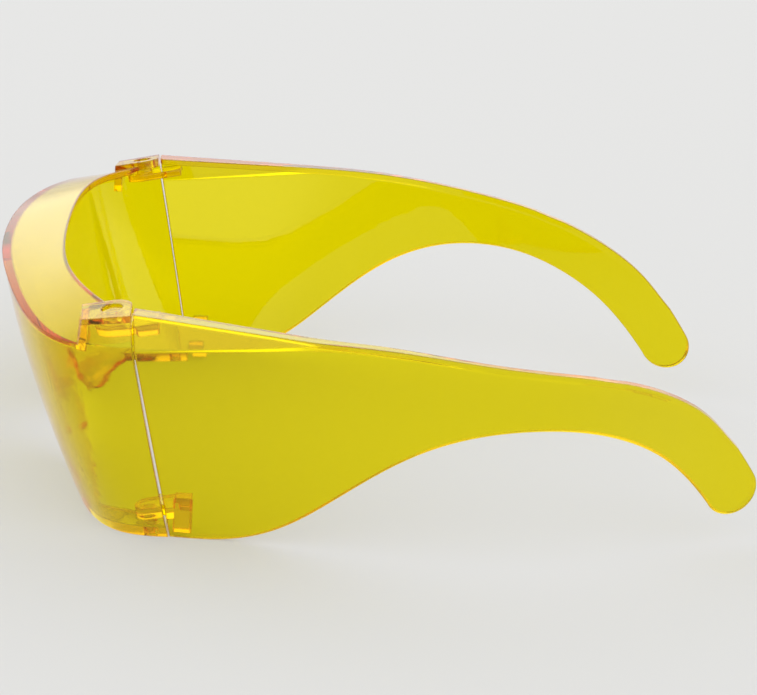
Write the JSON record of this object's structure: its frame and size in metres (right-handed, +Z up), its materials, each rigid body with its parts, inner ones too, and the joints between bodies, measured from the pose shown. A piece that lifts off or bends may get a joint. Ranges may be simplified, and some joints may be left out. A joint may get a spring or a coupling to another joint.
{
  "type": "safety glasses",
  "caption": "Over-the-spectacles safety glasses in clear yellow plastic: one wrap-round shield with a brow shelf, hinged to two tall side temples with drooping ear ends.",
  "frame": {"origin": "middle of the footprint, on the surface that the glasses stand on", "axes": "+X towards the wearer's left, +Y from the lens back to the ears, +Z up as worn"},
  "size_m": [0.1634, 0.1766, 0.0529],
  "materials": {
    "clear_plastic": "clear, polished, tinted yellow right through"
  },
  "bodies": {
    "shield": {"front_shield": "clear_plastic"},
    "temple_left": {"left_temple": "clear_plastic"},
    "temple_right": {"right_temple": "clear_plastic"}
  },
  "joints": [
    {"name": "left_temple_fold", "type": "hinge", "parent": "shield", "child": "temple_left", "pos_m": [0.0686, -0.05916, 0.0519], "axis": [0.0979, -0.2076, 0.9733], "range_deg": [0, 60]},
    {"name": "right_temple_fold", "type": "hinge", "parent": "shield", "child": "temple_right", "pos_m": [-0.0686, -0.05916, 0.0519], "axis": [0.0979, 0.2076, -0.9733], "range_deg": [0, 25]}
  ]
}
